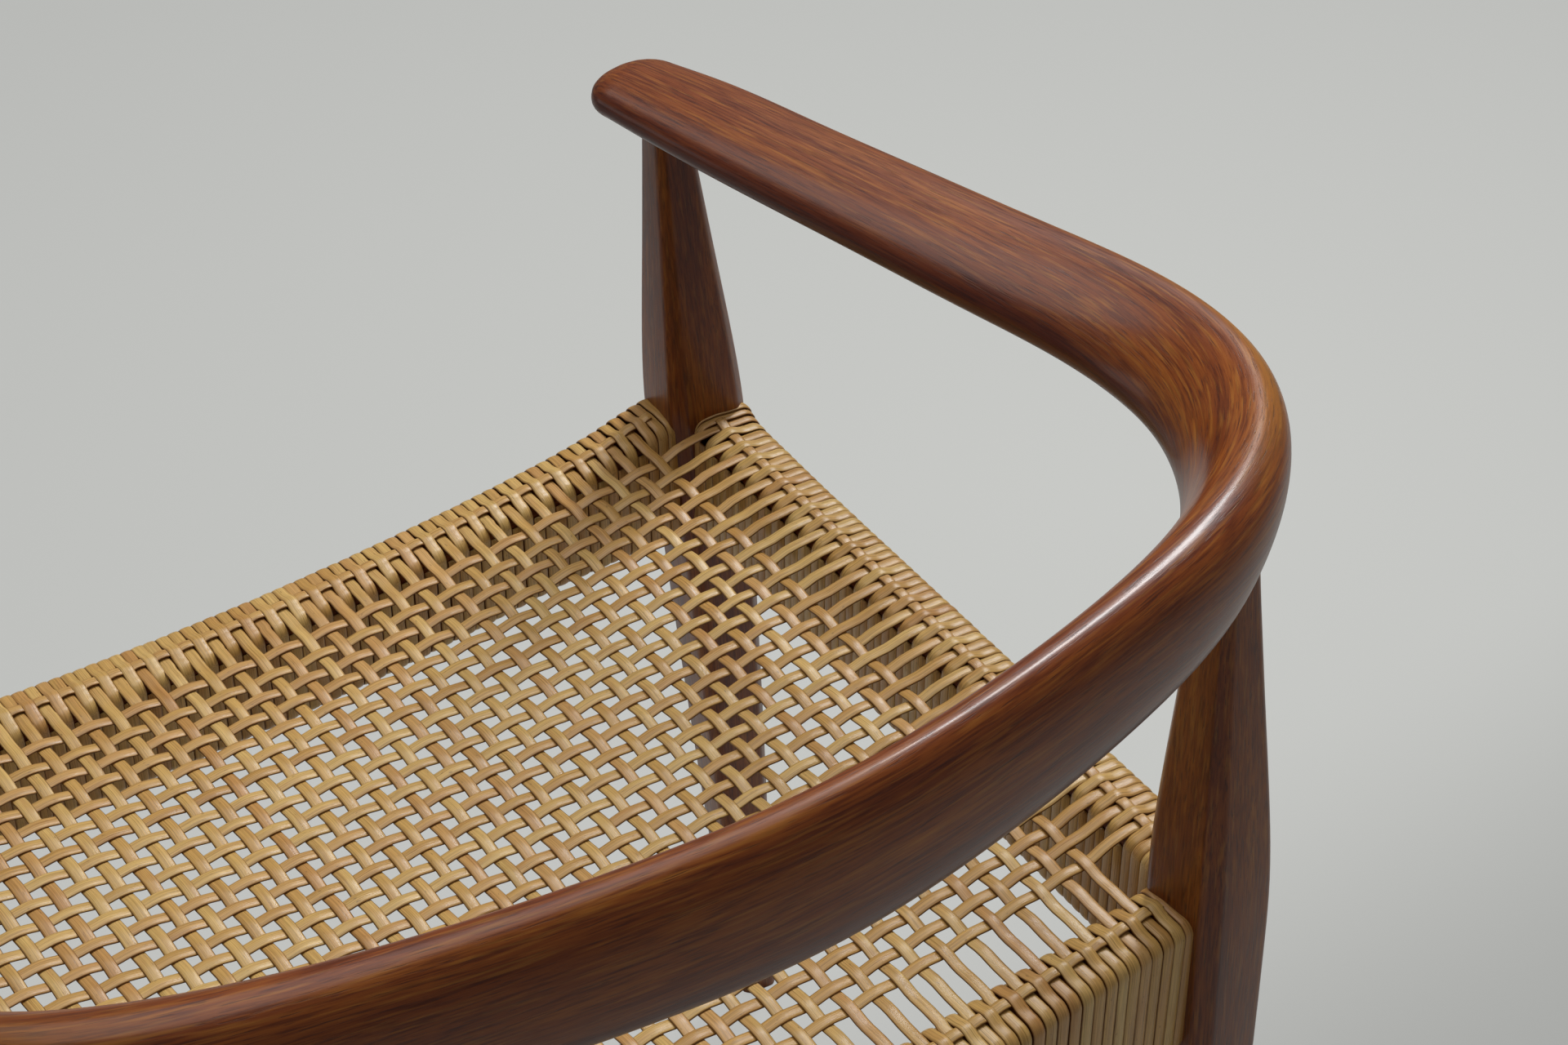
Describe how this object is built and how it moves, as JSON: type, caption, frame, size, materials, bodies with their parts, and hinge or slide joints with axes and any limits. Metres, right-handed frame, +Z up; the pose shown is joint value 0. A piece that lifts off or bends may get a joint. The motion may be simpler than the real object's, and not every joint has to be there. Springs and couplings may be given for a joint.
{
  "type": "horseshoe back armchair",
  "caption": "Armchair with a bent horseshoe top rail that is both arms and back, tapered legs joined under it, and a woven cane seat wound round four seat rails.",
  "frame": {"origin": "on the floor, below the middle of the chair's bounding box", "axes": "-Y to the front, where the sitter faces; +X to the sitter's left; +Z up"},
  "size_m": [0.6516, 0.5194, 0.6918],
  "materials": {
    "teak": "satin",
    "cane": "satin"
  },
  "bodies": {
    "root": {"arm_right": "teak", "arm_left": "teak", "back_rail": "teak", "leg_front_right": "teak", "leg_front_left": "teak", "leg_rear_right": "teak", "leg_rear_left": "teak", "front_seat_rail": "teak", "rear_seat_rail": "teak", "side_seat_rail_right": "teak", "side_seat_rail_left": "teak", "cane_wrap_front": "cane", "cane_wrap_rear": "cane", "cane_wrap_right": "cane", "cane_wrap_left": "cane", "binder_cane_front": "cane", "binder_cane_rear": "cane", "binder_cane_right": "cane", "binder_cane_left": "cane", "cane_seat": "cane"}
  },
  "joints": []
}
